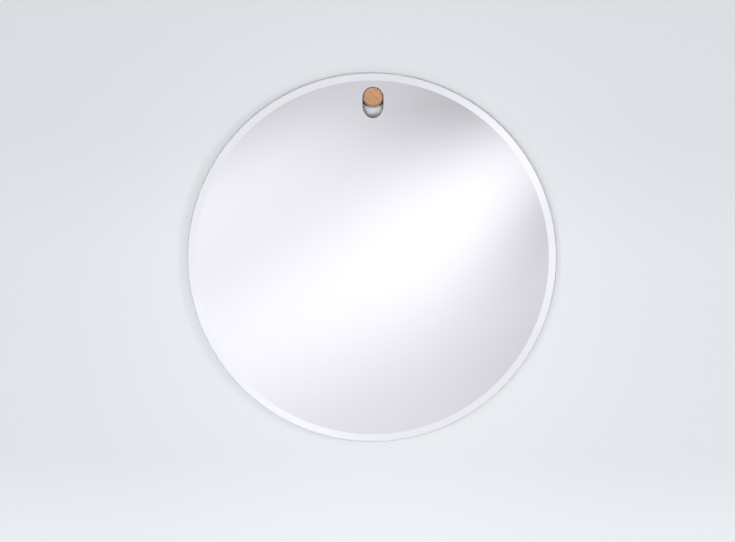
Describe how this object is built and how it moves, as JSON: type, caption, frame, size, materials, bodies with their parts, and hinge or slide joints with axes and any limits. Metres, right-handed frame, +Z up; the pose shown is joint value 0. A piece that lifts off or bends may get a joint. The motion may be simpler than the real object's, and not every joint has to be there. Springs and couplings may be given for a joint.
{
  "type": "round wall mirror on a peg",
  "caption": "Round frameless bevelled wall mirror with a slot near its top edge, which hangs on a wooden wall peg and pulls off forward.",
  "frame": {"origin": "where the peg's axis meets the wall's face", "axes": "+Z up, the mirror faces -Y, +Y into the wall, +X to the right for someone facing the mirror"},
  "size_m": [0.5, 0.0941, 0.5],
  "materials": {
    "silvered_glass": "polished silvered float glass",
    "film": "grey safety film",
    "black_board": "black fibreboard",
    "black_abs": "satin black edge band",
    "foam_tape": "white closed-cell foam tape",
    "stainless": "satin pressed stainless",
    "zinc_steel": "bright zinc plate",
    "silicone": "clear silicone",
    "rubber": "black rubber",
    "brown_rubber": "light brown rubber",
    "beech": "oiled end grain",
    "brass": "turned brass",
    "black_steel": "black powder coat",
    "nylon": "moulded grey nylon"
  },
  "bodies": {
    "wall_fixing": {"wall_plug": "nylon", "hanger_bolt": "zinc_steel", "wall_gasket": "rubber", "wall_rosette": "black_steel", "lock_washer": "zinc_steel", "rosette_nut": "zinc_steel", "peg_insert": "brass", "wooden_peg": "beech"},
    "sleeve": {"peg_sleeve": "brown_rubber"},
    "mirror": {"mirror_glass": "silvered_glass", "safety_film": "film", "backing_board": "black_board", "board_edge_band": "black_abs", "mirror_tape_1": "foam_tape", "mirror_tape_2": "foam_tape", "mirror_tape_3": "foam_tape", "mirror_tape_4": "foam_tape", "mirror_tape_5": "foam_tape", "mirror_tape_6": "foam_tape", "slot_cup": "stainless", "cup_screw_1": "zinc_steel", "cup_screw_2": "zinc_steel", "cup_screw_3": "zinc_steel", "cup_screw_4": "zinc_steel", "wall_bumper_1": "silicone", "wall_bumper_2": "silicone", "wall_bumper_3": "silicone", "wall_bumper_4": "silicone"}
  },
  "joints": [
    {"name": "mirror_swing", "type": "hinge", "parent": "wall_fixing", "child": "sleeve", "pos_m": [0, 0, 0], "axis": [0, 1, 0], "range_deg": [-30, 30]},
    {"name": "mirror_pull_off", "type": "slide", "parent": "sleeve", "child": "mirror", "axis": [0, -1, 0], "range_m": [0, 0.06]}
  ]
}
